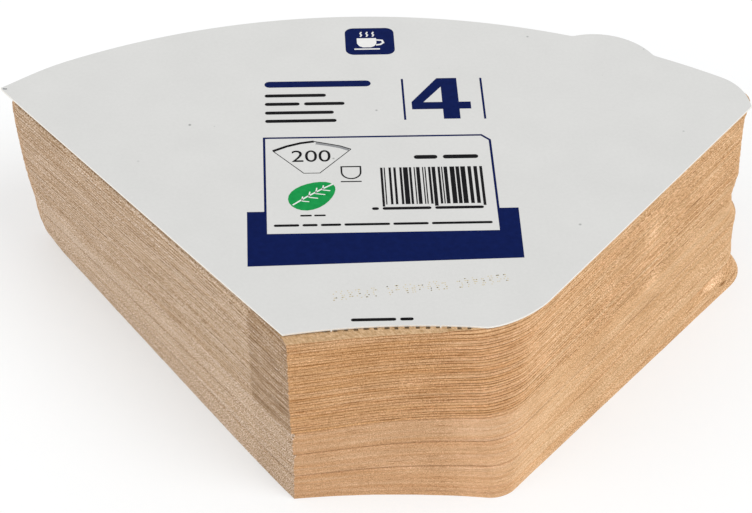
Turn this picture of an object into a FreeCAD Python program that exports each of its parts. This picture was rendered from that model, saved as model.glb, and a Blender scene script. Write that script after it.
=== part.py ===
# Pack of unbleached cone coffee filters, stacked flat under a printed cover card.
# Each filter is a flat fan: a narrow crimped hem, two straight sides and a wide curved mouth.
# Frame: +X to the right along the hem, +Y away from the hem towards the curved mouth, +Z up.
# The origin is in the middle of the pack's box, on the surface that the pack lies on.
import FreeCAD, Part
import math
import os
import Sketcher

doc = FreeCAD.newDocument("FilterPack")

# Driving dimensions, in millimetres and degrees
sheet = doc.addObject("Spreadsheet::Sheet", "Sizes")
DIMENSIONS = [
    # Flat filter, measured about the centre of its mouth's curved edge
    ("FilterCurve", 169.5, "radius of the open mouth's edge"),
    ("FilterHemDistance", 44.4, "from the curve's centre to the hem's left end, along Y"),
    ("FilterHemLeft", 20.4, "left end of the hem, left of the curve's centre"),
    ("FilterHemWidth", 53.0, "length of the crimped hem before its corner is rounded"),
    ("FilterHemCurve", 300.0, "radius of the hem, which curves in towards the mouth"),
    ("FilterHemAngle", 3.0, "angle of the hem to the X axis"),
    ("FilterLeftAngle", 36.9, "angle of the crimped left side to the Y axis"),
    ("FilterRightAngle", 39.5, "angle of the folded right side to the Y axis"),
    ("TopHemCorner", 20.0, "corner radius at the right end of the hem, top filter and card"),
    ("BottomHemCorner", 9.0, "the same on the bottom filter"),
    ("TopLeftTip", 5.0, "corner radius at the left end of the mouth, top filter"),
    ("BottomLeftTip", 16.0, "the same on the bottom filter"),
    ("RightTip", 13.0, "corner radius at the right end of the mouth, loose upper part"),
    ("PressedRightTip", 14.5, "the same on the first two pressed bundles"),
    ("LowerRightTip", 12.0, "the same on the lowest bundle, whose corner stands out"),
    # Stack of filters, from the top down
    ("RidgedHeight", 28.0, "loose upper part, whose folded edges show as ridges"),
    ("RidgePitch", 1.75, "height of one ridge, about seven filters, with its groove"),
    ("RidgeThickness", 1.25, "height of the ridge alone"),
    ("GrooveDepth", 0.45, "how far a groove lies inside the ridges"),
    ("UpperBundle", 7.4, "height of the first pressed bundle"),
    ("MiddleBundle", 7.4, "height of the second pressed bundle"),
    ("LowerBundle", 9.1, "height of the lowest pressed bundle"),
    ("BundleGap", 0.3, "height of the slit between two bundles"),
    ("BundleInset", 0.15, "how far the first two bundles lie inside the ridges"),
    # Lean of the stack from its top to its bottom
    ("TwistAngle", 3.6, "clockwise turn seen from above"),
    ("TwistCentre", 100.0, "the turn's centre, from the curve's centre along Y"),
    ("LeanRight", 3.5, "shift of the bottom along +X"),
    ("LeanForward", 0.9, "shift of the bottom along -Y"),
    # Cover card, which follows the top filter
    ("CardCurveOverhang", 1.5, "how far the card stands out past the mouth's edge"),
    ("CardHemSetback", 2.3, "from the filter's hem to the card's hem, along Y"),
    ("CardHemOverhang", 1.1, "how far the card's hem stands out to the left of the filter's"),
    ("CardHemExtra", 1.5, "how much longer the card's hem is than the filter's"),
    ("CardHemCurve", 130.0, "radius of the card's hem, which curves in towards the mouth"),
    ("CardLeftAngle", 0.3, "how much further the card's left side opens than the filter's"),
    ("CardLeftTip", 1.5, "corner radius at the left end of the card's curve"),
    ("CardRightTip", 10.0, "corner radius at the right end of the card's curve"),
    ("CardThickness", 0.5, "coated board"),
    ("TabRadius", 17.0, "radius of the thumb tab"),
    ("TabReach", 3.9, "how far the tab stands out past the card's curved edge"),
    ("TabAngle", 23.6, "direction of the tab from the Y axis, towards +X"),
]
for row, (alias, value, note) in enumerate(DIMENSIONS, start=1):
    sheet.set(f"A{row}", note)
    sheet.set(f"B{row}", str(value))
    sheet.setAlias(f"B{row}", alias)
doc.recompute()


def size(alias):
    """Value of a driving dimension."""
    return float(getattr(sheet, alias))


def vertical_edge(shape, point):
    """The upright edge of a plate that lies nearest to a point of its outline."""
    upright = [edge for edge in shape.Edges
               if edge.BoundBox.ZLength > 10 * max(edge.BoundBox.XLength, edge.BoundBox.YLength)]
    flat = FreeCAD.Vector(point.x, point.y, 0)
    return min(upright, key=lambda edge: edge.Vertexes[0].Point.projectToPlane(
        FreeCAD.Vector(), FreeCAD.Vector(0, 0, 1)).distanceToPoint(flat))


def edge_names(shape, points):
    """Names of the upright edges that lie nearest to the given points."""
    names = []
    for point in points:
        wanted = vertical_edge(shape, point)
        index = next(i for i, edge in enumerate(shape.Edges, start=1) if edge.isSame(wanted))
        names.append(f"Edge{index}")
    return names


def origin_plane(body, role):
    """One of the body's own origin planes."""
    return next(plane for plane in body.Origin.OriginFeatures if plane.Role == role)


# Plan of a fan
def line_meets_circle(start, direction, centre, radius):
    """The far point where a line from start leaves a circle."""
    to_start = start - centre
    along = -to_start.dot(direction)
    across = to_start.dot(to_start) - along * along
    return start + direction * (along + math.sqrt(radius * radius - across))


def heading(degrees):
    """Unit vector in the plan, at an angle to the Y axis, positive towards +X."""
    angle = math.radians(degrees)
    return FreeCAD.Vector(math.sin(angle), math.cos(angle), 0)


def curve_through(start, end, centre, radius):
    """Arc of a circle from start to end, on the side of its centre that faces +Y."""
    middle = (start + end) * 0.5 - centre
    return Part.Arc(start, centre + middle * (radius / middle.Length), end).toShape()


def filter_plate(inset, height, hem_corner_radius, right_tip_radius, left_tip_radius):
    """A flat filter, or several of them, whose outline is drawn in by the given inset."""
    left_end = FreeCAD.Vector(-size("FilterHemLeft"), size("FilterHemDistance"), 0)
    hem = heading(90 - size("FilterHemAngle")) * size("FilterHemWidth")
    right_end = left_end + hem
    left = heading(-size("FilterLeftAngle"))
    right = heading(size("FilterRightAngle"))
    inward = FreeCAD.Vector(-hem.y, hem.x, 0).normalize()
    hem_radius = size("FilterHemCurve")
    hem_drop = math.sqrt(hem_radius ** 2 - (hem.Length / 2) ** 2)
    hem_centre = (left_end + right_end) * 0.5 - inward * hem_drop
    centre = FreeCAD.Vector()

    left_start = left_end + FreeCAD.Vector(left.y, -left.x, 0) * inset
    right_start = right_end + FreeCAD.Vector(-right.y, right.x, 0) * inset
    corners = [
        line_meets_circle(left_start - left * size("FilterHemWidth"), left, hem_centre, hem_radius + inset),
        line_meets_circle(right_start - right * size("FilterHemWidth"), right, hem_centre, hem_radius + inset),
        line_meets_circle(right_start, right, centre, size("FilterCurve") - inset),
        line_meets_circle(left_start, left, centre, size("FilterCurve") - inset),
    ]
    hem_left, hem_right, right_tip, left_tip = corners
    outline = Part.Wire([
        curve_through(hem_left, hem_right, hem_centre, hem_radius + inset),
        Part.LineSegment(hem_right, right_tip).toShape(),
        curve_through(right_tip, left_tip, centre, size("FilterCurve") - inset),
        Part.LineSegment(left_tip, hem_left).toShape(),
    ])
    plate = Part.Face(outline).extrude(FreeCAD.Vector(0, 0, height))
    for corner, radius in ((hem_right, hem_corner_radius), (right_tip, right_tip_radius),
                           (left_tip, left_tip_radius)):
        plate = plate.makeFillet(radius, [vertical_edge(plate, corner)])
    return plate


# Layers of the stack, from the surface up: height, inset and radius of the mouth's right corner
ridge_count = round(size("RidgedHeight") / size("RidgePitch"))
groove_height = size("RidgePitch") - size("RidgeThickness")
LAYERS = [
    (size("LowerBundle"), 0.0, size("LowerRightTip")),
    (size("BundleGap"), size("GrooveDepth"), size("PressedRightTip")),
    (size("MiddleBundle"), size("BundleInset"), size("PressedRightTip")),
    (size("BundleGap"), size("GrooveDepth"), size("PressedRightTip")),
    (size("UpperBundle"), size("BundleInset"), size("PressedRightTip")),
]
for ridge in range(ridge_count):
    LAYERS.append((groove_height, size("GrooveDepth"), size("RightTip")))
    LAYERS.append((size("RidgeThickness"), 0.0, size("RightTip")))
stack_height = sum(height for height, inset, right_tip_radius in LAYERS)


def from_top_to_bottom(top, bottom, depth):
    """A size that changes evenly down the stack; depth is 0 at its top and 1 at its bottom."""
    return size(top) + (size(bottom) - size(top)) * depth


def filter_stack():
    """The filters as one solid, which leans and turns a little from its top to its bottom."""
    up = FreeCAD.Vector(0, 0, 1)
    turn_centre = FreeCAD.Vector(0, size("TwistCentre"), 0)
    plates = []
    level = 0.0
    for height, inset, right_tip_radius in LAYERS:
        depth = 1 - (level + height / 2) / stack_height
        plate = filter_plate(inset, height, from_top_to_bottom("TopHemCorner", "BottomHemCorner", depth),
                             right_tip_radius, from_top_to_bottom("TopLeftTip", "BottomLeftTip", depth))
        # The lean grows faster towards the bottom
        lean = depth * depth
        plate.rotate(turn_centre, up, -size("TwistAngle") * lean)
        plate.translate(FreeCAD.Vector(size("LeanRight") * lean, -size("LeanForward") * lean, level))
        plates.append(plate)
        level += height
    return plates[0].multiFuse(plates[1:])


# Filter stack
stack = doc.addObject("Part::Feature", "FilterStack")
stack.Label = "filter_stack"
stack.Shape = filter_stack()


# Cover card: each of its sizes is the top filter's with an overhang, and is written here once
CARD = {
    "curve": "Sizes.FilterCurve + Sizes.CardCurveOverhang",
    "hem_distance": "Sizes.FilterHemDistance + Sizes.CardHemSetback",
    "hem_left": "Sizes.FilterHemLeft + Sizes.CardHemOverhang",
    "hem_width": "Sizes.FilterHemWidth + Sizes.CardHemExtra",
    "left_angle": "(Sizes.FilterLeftAngle + Sizes.CardLeftAngle) * 1 deg",
    "right_angle": "Sizes.FilterRightAngle * 1 deg",
    "tab_distance": "Sizes.FilterCurve + Sizes.CardCurveOverhang + Sizes.TabReach - Sizes.TabRadius",
}


def card_size(name):
    """Value of one of the card's sizes, in millimetres or degrees."""
    value = sheet.evalExpression(CARD[name])
    return float(getattr(value, "Value", value))


def card_outline(sketch):
    """The card's plan, with its hem, its two sides and its curved edge still sharp at the corners."""
    hem_left = FreeCAD.Vector(-card_size("hem_left"), card_size("hem_distance"), 0)
    hem_right = hem_left + FreeCAD.Vector(card_size("hem_width"), 0, 0)
    curve, hem_curve = card_size("curve"), size("CardHemCurve")
    left_angle, right_angle = card_size("left_angle"), card_size("right_angle")
    right_tip = line_meets_circle(hem_right, heading(right_angle), FreeCAD.Vector(), curve)
    left_tip = line_meets_circle(hem_left, heading(-left_angle), FreeCAD.Vector(), curve)
    half_hem = math.asin(card_size("hem_width") / 2 / hem_curve)
    hem_centre = (hem_left + hem_right) * 0.5 - FreeCAD.Vector(0, hem_curve * math.cos(half_hem), 0)
    upwards = FreeCAD.Vector(0, 0, 1)
    hem = sketch.addGeometry(Part.ArcOfCircle(
        Part.Circle(hem_centre, upwards, hem_curve), math.pi / 2 - half_hem, math.pi / 2 + half_hem))
    right = sketch.addGeometry(Part.LineSegment(hem_right, right_tip))
    mouth = sketch.addGeometry(Part.ArcOfCircle(
        Part.Circle(FreeCAD.Vector(), upwards, curve),
        math.atan2(right_tip.y, right_tip.x), math.atan2(left_tip.y, left_tip.x)))
    left = sketch.addGeometry(Part.LineSegment(left_tip, hem_left))

    first, last, middle = 1, 2, 3
    origin = (-1, 1)
    joins = [(hem, first, right, first), (right, last, mouth, first),
             (mouth, last, left, first), (left, last, hem, last), (mouth, middle) + origin]
    for join in joins:
        sketch.addConstraint(Sketcher.Constraint("Coincident", *join))
    sketch.addConstraint(Sketcher.Constraint("Horizontal", hem, first, hem, last))
    drive(sketch, [
        (("Radius", mouth, curve), CARD["curve"]),
        (("Radius", hem, hem_curve), "Sizes.CardHemCurve"),
        (("DistanceX", hem, last, *origin, card_size("hem_left")), CARD["hem_left"]),
        (("DistanceY", *origin, hem, last, card_size("hem_distance")), CARD["hem_distance"]),
        (("DistanceX", hem, last, hem, first, card_size("hem_width")), CARD["hem_width"]),
        (("Angle", right, math.radians(90 - right_angle)), f"90 deg - {CARD['right_angle']}"),
        (("Angle", left, math.radians(-90 + left_angle)), f"-90 deg + {CARD['left_angle']}"),
    ])
    return hem_right, right_tip, left_tip


def drive(sketch, constraints):
    """Adds each constraint, and binds its value to the sizes."""
    for constraint, expression in constraints:
        number = sketch.addConstraint(Sketcher.Constraint(*constraint))
        sketch.setExpression(f"Constraints[{number}]", expression)


card = doc.addObject("PartDesign::Body", "CoverCard")
card.Label = "cover_card"
card_sketch = card.newObject("Sketcher::SketchObject", "CardSketch")
card_sketch.AttachmentSupport = [(origin_plane(card, "XY_Plane"), "")]
card_sketch.MapMode = "FlatFace"
hem_corner_point, right_tip_point, left_tip_point = card_outline(card_sketch)

card_pad = card.newObject("PartDesign::Pad", "CardPad")
card_pad.Profile = card_sketch
card_pad.setExpression("Length", "Sizes.CardThickness")
doc.recompute()

base = card_pad
for name, corner, alias in (("HemCorner", hem_corner_point, "TopHemCorner"),
                            ("RightTip", right_tip_point, "CardRightTip"),
                            ("LeftTip", left_tip_point, "CardLeftTip")):
    rounding = card.newObject("PartDesign::Fillet", name)
    rounding.Base = (base, edge_names(base.Shape, [corner]))
    rounding.setExpression("Radius", f"Sizes.{alias}")
    doc.recompute()
    base = rounding

# Thumb tab: a round lobe on the curved edge, mostly inside the card
tab_sketch = card.newObject("Sketcher::SketchObject", "TabSketch")
tab_sketch.AttachmentSupport = [(origin_plane(card, "XY_Plane"), "")]
tab_sketch.MapMode = "FlatFace"
tab_centre = heading(size("TabAngle")) * card_size("tab_distance")
tab = tab_sketch.addGeometry(Part.Circle(tab_centre, FreeCAD.Vector(0, 0, 1), size("TabRadius")))
drive(tab_sketch, [
    (("Radius", tab, size("TabRadius")), "Sizes.TabRadius"),
    (("DistanceX", -1, 1, tab, 3, tab_centre.x), f"({CARD['tab_distance']}) * sin(Sizes.TabAngle * 1 deg)"),
    (("DistanceY", -1, 1, tab, 3, tab_centre.y), f"({CARD['tab_distance']}) * cos(Sizes.TabAngle * 1 deg)"),
])
tab_pad = card.newObject("PartDesign::Pad", "TabPad")
tab_pad.Profile = tab_sketch
tab_pad.setExpression("Length", "Sizes.CardThickness")
card.Tip = tab_pad
doc.recompute()

# Place the pieces: the card lies on the stack, and the origin is under the middle of both
reach = stack.Shape.optimalBoundingBox(False)
reach.add(card.Shape.optimalBoundingBox(False))
middle_shift = FreeCAD.Vector(-reach.Center.x, -reach.Center.y, 0)
upright_turn = FreeCAD.Rotation()
stack.Placement = FreeCAD.Placement(middle_shift, upright_turn)
card.Placement = FreeCAD.Placement(middle_shift + FreeCAD.Vector(0, 0, stack_height), upright_turn)
doc.recompute()

# Check the model, then write each piece
for item in doc.Objects:
    if "Invalid" in item.State or "Error" in item.State:
        raise RuntimeError(f"{item.Label} failed to recompute: {item.State}")
pieces = [stack, card]
for piece in pieces:
    if piece.Shape.isNull() or not piece.Shape.isValid():
        raise RuntimeError(f"{piece.Label} has no valid shape")
    if len(piece.Shape.Solids) != 1:
        raise RuntimeError(f"{piece.Label} is not one solid")

os.makedirs("parts", exist_ok=True)
for piece in pieces:
    piece.Shape.exportStep(f"parts/{piece.Label}.step")
    box = piece.Shape.BoundBox
    print(f"{piece.Label}: {box.XLength:.1f} x {box.YLength:.1f} x {box.ZLength:.2f} mm, "
          f"volume {piece.Shape.Volume / 1000:.1f} cm3, {len(piece.Shape.Faces)} faces")
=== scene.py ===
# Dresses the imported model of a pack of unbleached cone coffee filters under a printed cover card.
# Plan sizes are millimetres about the centre of the mouth's curved edge, +X right, +Y away from the hem.
import math
import random
import bmesh
import bpy
from mathutils import Matrix, Vector, noise


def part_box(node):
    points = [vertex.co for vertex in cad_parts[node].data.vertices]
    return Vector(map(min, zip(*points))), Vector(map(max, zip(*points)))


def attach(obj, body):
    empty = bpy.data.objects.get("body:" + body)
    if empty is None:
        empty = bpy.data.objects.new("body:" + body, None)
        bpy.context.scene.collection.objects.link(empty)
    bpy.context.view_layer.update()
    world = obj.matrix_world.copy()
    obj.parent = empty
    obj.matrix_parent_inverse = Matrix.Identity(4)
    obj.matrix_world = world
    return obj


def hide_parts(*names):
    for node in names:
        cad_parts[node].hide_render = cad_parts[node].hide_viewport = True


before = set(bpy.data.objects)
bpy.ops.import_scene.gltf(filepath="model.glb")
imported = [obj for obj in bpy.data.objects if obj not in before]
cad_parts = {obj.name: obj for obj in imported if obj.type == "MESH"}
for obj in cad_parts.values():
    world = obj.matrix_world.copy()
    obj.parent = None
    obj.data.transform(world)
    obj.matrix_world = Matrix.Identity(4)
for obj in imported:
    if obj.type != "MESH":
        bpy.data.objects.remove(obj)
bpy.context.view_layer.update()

MM = 0.001
card_low, card_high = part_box("cover_card")
stack_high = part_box("filter_stack")[1]

# Heights, from the surface that the pack lies on
STACK_TOP = stack_high.z / MM
CARD_TOP = card_high.z / MM
INK_THICKNESS = 0.02
BOARD_TOP = CARD_TOP - 2 * INK_THICKNESS
LOWER_BUNDLE = (0.0, 9.2)
MIDDLE_BUNDLE = (9.3, 16.9)
UPPER_BUNDLE = (17.0, 24.4)
RIDGED_BOTTOM = 24.5
SHEET = 0.262
TOP_SHEET = 0.25

# Flat filter: at the top of the stack, and at its bottom, which handling has skewed
FILTER_CURVE = 169.5
HEM_START = (Vector((-20.4, 44.4)), Vector((-19.9, 44.2)))
HEM_WIDTH = (53.0, 52.4)
HEM_CURVE = (300.0, 230.0)
HEM_ANGLE = (3.0, -1.7)
LEFT_ANGLE = (36.9, 32.9)
RIGHT_ANGLE = (39.5, 41.65)
MOUTH_CENTRE = (Vector((0, 0)), Vector((-2.8, -0.7)))
HEM_CORNER = (20.0, 8.9)
SKEW_POWER = 2.8

# Lengths rounded off at the tips, and the front left corner's shift along +X, at heights up the stack
LEFT_TIPS = [(0, 12.0), (5, 8.5), (10, 9.5), (20, 12.5), (35, 10.5), (52.5, 7.5)]
RIGHT_TIPS = [(0, 11.5), (1.5, 13.5), (3.2, 16.0), (4.4, 16.2), (6.4, 14.6), (9.2, 13.7), (9.3, 14.0),
              (13, 12.6), (15.5, 10.9), (16.9, 9.8), (17.3, 9.6), (18.0, 10.4), (18.8, 12.5), (24.4, 13.2),
              (24.6, 13.3), (30, 8.5), (48, 8.5), (52.5, 6.0)]
CORNER_SHIFTS = [(0, 0.7), (9.2, 0.9), (9.3, 0.9), (15.5, 1.0), (16.9, 1.5), (17, 0.8), (22.5, 0.8),
                 (24.4, 1.4), (24.6, 0.45), (33, 0.12), (52.5, -0.35)]

# Cover card
CARD_CURVE = 171.0
CARD_LEFT_REACH = 93.65
CARD_HEM_LEFT = (-21.6, 47.15)
CARD_HEM_RIGHT = (33.0, 46.7)
CARD_LEFT_ANGLE = 37.0
# Small point where the hem's curve ends, and how far its rounded corner runs up the right side
CARD_CUSP = Vector((26.4, 48.4))
CARD_CORNER = 14
# The right tip is cut to a small point below and rounded above; the left tip is worn
CARD_TIP_TRIM = 6.5
CARD_TIP_ROUND = 12.4
CARD_LEFT_TIP = Vector((-92.9, 142.05))
CARD_WORN = 20.0
# Uncut nicks on the hem's edge, where the die let the card hang in its sheet
CARD_NICKS = (-10.0, 16.2)
# How far the cut edge is rounded
CARD_EDGE = 0.09
TAB_RADIUS = 17.0
TAB_REACH = 3.9
TAB_ANGLE = 23.6
# Degrees over which the tab and the card's curve blend into each other
TAB_BLEND = 4
TAB_FOOT = 0.8

CENTRE = Vector((card_low.x / MM + CARD_LEFT_REACH, card_high.y / MM - CARD_CURVE))


def at_height(stations, height):
    """A size given at some heights or columns, taken evenly between them."""
    for (low, first), (high, second) in zip(stations, stations[1:]):
        if height <= high:
            return first + (second - first) * (height - low) / (high - low)
    return stations[-1][1]


# Plan geometry
def heading(degrees):
    """Unit vector in the plan, at an angle to the Y axis, positive towards +X."""
    angle = math.radians(degrees)
    return Vector((math.sin(angle), math.cos(angle)))


def line_meets_circle(start, direction, centre, radius):
    """The far point where a line from start leaves a circle."""
    to_start = start - centre
    along = -to_start.dot(direction)
    across = to_start.dot(to_start) - along * along
    return start + direction * (along + math.sqrt(radius * radius - across))


def arc(centre, radius, start, end, count):
    """Points of an arc between two azimuths in degrees, without its last point."""
    steps = [start + (end - start) * step / count for step in range(count)]
    return [centre + heading(azimuth) * radius for azimuth in steps]


def line(start, end, count):
    """Evenly spaced points of a straight stretch, without its last point."""
    return [start.lerp(end, step / count) for step in range(count)]


def bend(start, start_handle, end_handle, end, count):
    """Points of a cubic curve between two points, without its last point."""
    points = []
    for step in range(count):
        t = step / count
        s = 1 - t
        points.append(start * s ** 3 + start_handle * (3 * s * s * t)
                      + end_handle * (3 * s * t * t) + end * t ** 3)
    return points


def azimuth_of(point, centre):
    """Azimuth in degrees of a point seen from a centre."""
    return math.degrees(math.atan2(point.x - centre.x, point.y - centre.y))


# Columns of the filter's outline: hem, hem corner, right side, right tip, mouth, left tip, left side
HEM, HEM_BEND, RIGHT, RIGHT_BEND, MOUTH, LEFT_BEND, LEFT = 44, 14, 46, 10, 64, 8, 46
COLUMNS = HEM + HEM_BEND + RIGHT + RIGHT_BEND + MOUTH + LEFT_BEND + LEFT
# A rounded corner's handles, as a share of what it cuts off
ROUND = 0.56


def between(pair, share):
    """A size or place taken from the first of a pair to the second."""
    return pair[0] + (pair[1] - pair[0]) * share


def filter_plan(height, inset):
    """Outline of the filter at a height, drawn in by the inset.

    It starts at the front left corner and runs counterclockwise.
    """
    depth = 1 - height / STACK_TOP
    skew = depth ** SKEW_POWER
    left_tip = at_height(LEFT_TIPS, height)
    right_tip = at_height(RIGHT_TIPS, height)
    right_angle, hem_angle = between(RIGHT_ANGLE, skew), between(HEM_ANGLE, skew)
    left, right = heading(-between(LEFT_ANGLE, skew)), heading(right_angle)
    left_end = between(HEM_START, skew)
    hem_width = between(HEM_WIDTH, skew)
    hem = heading(90 - hem_angle) * hem_width
    right_end = left_end + hem
    inward = Vector((-hem.y, hem.x)).normalized()
    hem_curve = between(HEM_CURVE, skew)
    drop = math.sqrt(hem_curve ** 2 - (hem_width / 2) ** 2)
    hem_centre = (left_end + right_end) / 2 - inward * drop
    hem_radius = hem_curve + inset
    radius = FILTER_CURVE - inset
    centre = between(MOUTH_CENTRE, skew)
    left_start = left_end + Vector((left.y, -left.x)) * inset
    right_start = right_end + Vector((-right.y, right.x)) * inset
    hem_left = line_meets_circle(left_start - left * hem_width, left, hem_centre, hem_radius)
    hem_right = line_meets_circle(right_start - right * hem_width, right, hem_centre, hem_radius)
    right_corner = line_meets_circle(right_start, right, centre, radius)
    left_corner = line_meets_circle(left_start, left, centre, radius)

    hem_trim = between(HEM_CORNER, depth) * math.tan(math.radians(90 - right_angle + hem_angle) / 2)
    hem_first = azimuth_of(hem_left, hem_centre)
    hem_last = azimuth_of(hem_right, hem_centre) - math.degrees(hem_trim / hem_radius)
    mouth_start = azimuth_of(right_corner, centre) - math.degrees(right_tip / radius)
    mouth_end = azimuth_of(left_corner, centre) + math.degrees(left_tip / radius)

    hem_stop = hem_centre + heading(hem_last) * hem_radius
    side_start = hem_right + right * hem_trim
    side_end = right_corner - right * right_tip
    mouth_first = centre + heading(mouth_start) * radius
    mouth_last = centre + heading(mouth_end) * radius
    left_first = left_corner - left * left_tip

    return (arc(hem_centre, hem_radius, hem_first, hem_last, HEM)
            + bend(hem_stop, hem_stop + heading(hem_last + 90) * hem_trim * ROUND,
                   side_start - right * hem_trim * ROUND, side_start, HEM_BEND)
            + line(side_start, side_end, RIGHT)
            + bend(side_end, side_end + right * right_tip * ROUND,
                   mouth_first + heading(mouth_start + 90) * right_tip * ROUND, mouth_first, RIGHT_BEND)
            + arc(centre, radius, mouth_start, mouth_end, MOUTH)
            + bend(mouth_last, mouth_last + heading(mouth_end - 90) * left_tip * ROUND,
                   left_first + left * left_tip * ROUND, left_first, LEFT_BEND)
            + line(left_first, hem_left, LEFT))


def outward(points):
    """Outward directions at the points of a closed counterclockwise outline."""
    directions = []
    for index in range(len(points)):
        step = points[(index + 1) % len(points)] - points[index - 1]
        directions.append(Vector((step.y, -step.x)).normalized())
    return directions


# Where a column lies on the outline
RIGHT_END = HEM + HEM_BEND + RIGHT
MOUTH_END = RIGHT_END + RIGHT_BEND + MOUTH
SPLIT_COLUMN = RIGHT_END + RIGHT_BEND + MOUTH // 2
# Column, how deep grooves are there, and its side: 0 the hem, -1 the folded sides, 1 the crimped side
STATIONS = [
    (0, 0.22, 0), (HEM // 2, 0.3, 0), (HEM, 0.6, 0), (HEM + HEM_BEND // 2, 0.7, -0.2),
    (HEM + HEM_BEND + 6, 0.4, -1), (RIGHT_END, 0.3, -1), (MOUTH_END, 0.3, -1),
    (MOUTH_END + LEFT_BEND, 0.3, 1), (COLUMNS, 0.3, 1),
]


def column_marks():
    """The depth of grooves and the side for each column, taken evenly between the stations."""
    depths = [(column, depth) for column, depth, side in STATIONS]
    sides = [(column, side) for column, depth, side in STATIONS]
    return [(at_height(depths, column), at_height(sides, column)) for column in range(COLUMNS + 1)]


COLUMN_MARKS = column_marks()


def running_lengths():
    """Length along the outline up to each column, in millimetres."""
    points = filter_plan(STACK_TOP / 2, 0)
    lengths = [0.0]
    for first, second in zip(points, points[1:] + points[:1]):
        lengths.append(lengths[-1] + (second - first).length)
    return lengths


LENGTHS = running_lengths()

# How far the filters hang down near the front left corner, and how far from it
SAG = 1.9
TOP_DROOP = 0.3
SAG_REACH = 20.0


def sag(height, corner_distance):
    """How far the filters hang down at a height and a distance from the front left corner."""
    share = min(1.0, height / STACK_TOP)
    bulge = 1 - abs(2 * share - 1) ** 3
    return -(SAG * bulge + TOP_DROOP * share ** 8) * math.exp(-(corner_distance / SAG_REACH) ** 2)


def wander(length, level, reach, seed):
    """Smooth change along an edge, from 0 to 1, with a given reach in millimetres."""
    value = noise.noise(Vector((length / reach, level, seed)))
    return min(1.0, max(0.0, 0.5 + 0.9 * value))


# The filters under the card draw back on the crimped side and at the hem's corner
CARD_GAP = 1.9
CARD_GAP_REACH = 1.5
CORNER_GAP = 1.1
CORNER_GAP_REACH = 1.0
# Crease over the lowest filters at the right tip: how far the side lies back, at heights up the stack
CREASE = [(0, 0.0), (3.2, 0.0), (4.9, 1.6), (5.3, 2.0), (5.7, 0.8), (6.8, 0.0), (52.5, 0.0)]
CREASE_COLUMNS = 8


def under_card(height, column):
    """How far the filters draw back just under the card."""
    drop = STACK_TOP - height
    side_share = (column - MOUTH_END) / (COLUMNS - MOUTH_END)
    if side_share > 0:
        along_side = math.sin(math.pi * side_share ** 0.8) ** 0.35
        return CARD_GAP * math.exp(-(drop / CARD_GAP_REACH) ** 2) * along_side
    corner_share = 1 - abs(column - HEM - HEM_BEND / 2) / HEM_BEND
    if corner_share > 0:
        return CORNER_GAP * math.exp(-(drop / CORNER_GAP_REACH) ** 2) * corner_share ** 0.5
    return 0.0


def tip_crease(height, column):
    """How far the side lies back over the lowest filters, whose loose corner stands out."""
    share = 1 - abs(column - RIGHT_END) / CREASE_COLUMNS
    return at_height(CREASE, height) * max(0.0, share) ** 0.7


# Unevenness of a filter's edge: its slip, its slip at the front left corner along X and Y, its ripple
SLIP = 0.05
CORNER_SLIP = (0.16, 0.1)
RIPPLE = 0.08
# How far slits between bundles open, the front left corner's shift along Y, and how far its shifts reach
SLIT_LIFT = 0.045
CORNER_BACK = 0.1
CORNER_SHIFT_REACH = 12
CORNER_SLIP_REACH = 2.5


def ring_of(row, rng, seed):
    """Points round the filters at one row."""
    height, inset, groove, gap = row
    plan = filter_plan(height, inset)
    directions = outward(plan)
    slip = Vector((rng.uniform(-SLIP, SLIP), rng.uniform(-SLIP, SLIP)))
    corner_shift = Vector((at_height(CORNER_SHIFTS, height), CORNER_BACK))
    corner_slip = Vector([rng.uniform(-reach, reach) for reach in CORNER_SLIP])
    ring = []
    for column in range(COLUMNS):
        length = LENGTHS[column]
        corner = min(length, LENGTHS[-1] - length)
        fade = wander(length, height * 2.3, 9, seed)
        drawn_in = COLUMN_MARKS[column][0] * groove * (0.15 + 0.85 * fade)
        drawn_in += RIPPLE * wander(length, height * 0.9, 7, seed + 5)
        drawn_in += under_card(height, column) + tip_crease(height, column)
        point = plan[column] - directions[column] * drawn_in + slip
        point += corner_shift * math.exp(-corner / CORNER_SHIFT_REACH)
        point += corner_slip * math.exp(-corner / CORNER_SLIP_REACH)
        lift = gap * SLIT_LIFT * wander(length, height, 6, seed + 9)
        ring.append(Vector((CENTRE.x + point.x, CENTRE.y + point.y, height + lift + sag(height, corner))))
    return ring


def bundle_mesh(name, rows, seed, material):
    """Closed shell round a run of filters; each row is (height, inset, groove, gap side)."""
    bm = bmesh.new()
    bmesh.ops.create_grid(bm, x_segments=COLUMNS, y_segments=len(rows) - 1, size=0.5)
    edge_map = bm.loops.layers.uv.new("edge")
    marks_map = bm.loops.layers.uv.new("marks")
    cells = {vert: (round((vert.co.x + 0.5) * COLUMNS), round((vert.co.y + 0.5) * (len(rows) - 1)))
             for vert in bm.verts}
    for face in bm.faces:
        behind_split = min(cells[vert][0] for vert in face.verts) >= SPLIT_COLUMN
        for loop in face.loops:
            column, row = cells[loop.vert]
            length = LENGTHS[column] - (LENGTHS[-1] if behind_split else 0)
            height, inset, groove, gap = rows[row]
            loop[edge_map].uv = (length, height + inset * (abs(gap) + 0.001))
            # The groove's depth also sets the painted shade in the edge material
            loop[marks_map].uv = (COLUMN_MARKS[column][1], groove)
    rng = random.Random(seed)
    rings = [ring_of(row, rng, seed) for row in rows]
    for vert, (column, row) in cells.items():
        vert.co = rings[row][column % COLUMNS] * MM
    seam = [vert for vert, (column, row) in cells.items() if column in (0, COLUMNS)]
    bmesh.ops.remove_doubles(bm, verts=seam, dist=1e-7)
    bmesh.ops.holes_fill(bm, edges=[edge for edge in bm.edges if edge.is_boundary], sides=0)
    for face in bm.faces:
        if len(face.verts) > 4:
            for loop in face.loops:
                loop[edge_map].uv = (loop.vert.co.x / MM, loop.vert.co.y / MM)
    return finished(bm, name, material)


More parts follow.
